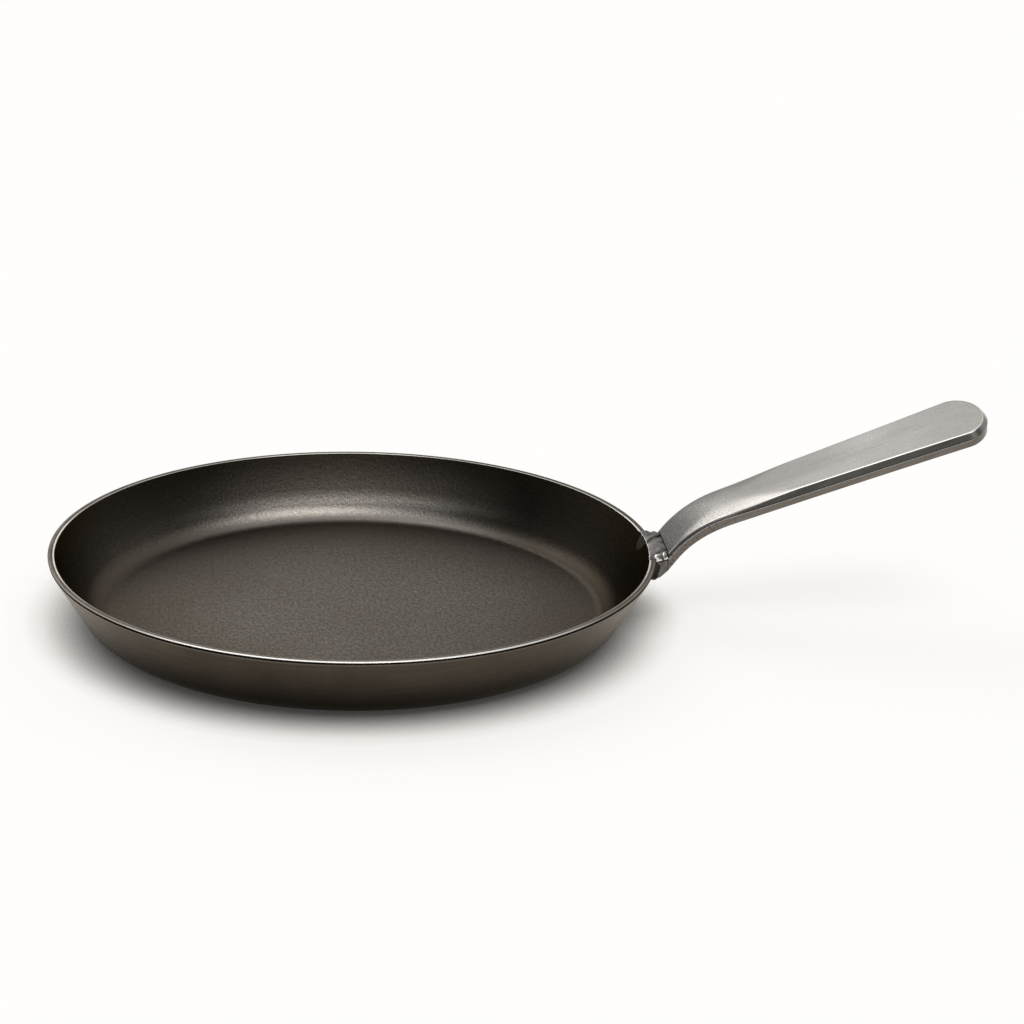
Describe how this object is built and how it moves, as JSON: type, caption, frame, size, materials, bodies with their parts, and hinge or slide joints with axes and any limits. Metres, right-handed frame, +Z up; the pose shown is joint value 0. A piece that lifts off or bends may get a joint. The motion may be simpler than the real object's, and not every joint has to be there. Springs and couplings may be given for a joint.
{
  "type": "skillet",
  "caption": "Shallow round steel skillet with a flared wall, a turned rim lip and a long, flat, rising handle welded on through a bracket, for frying on a hob.",
  "frame": {"origin": "on the pan's axis at the plane its base rests on", "axes": "+X along the handle, away from the pan; +Z up, out of the pan's mouth; +Y completes a right-handed frame"},
  "size_m": [0.403, 0.26, 0.0903],
  "materials": {
    "pan_body": "dark grey-brown oiled steel, finely brushed",
    "handle_bracket": "forged steel, lightly ground",
    "handle_upper_shell": "satin steel, brushed along the handle",
    "handle_lower_shell": "satin steel, slightly browned",
    "top_weld": "rippled weld metal",
    "left_weld": "weld metal",
    "right_weld": "weld metal",
    "under_weld": "weld metal"
  },
  "bodies": {
    "root": {"pan_body": "pan_body", "handle_bracket": "handle_bracket", "handle_upper_shell": "handle_upper_shell", "handle_lower_shell": "handle_lower_shell", "top_weld": "top_weld", "left_weld": "left_weld", "right_weld": "right_weld", "under_weld": "under_weld"}
  },
  "joints": []
}
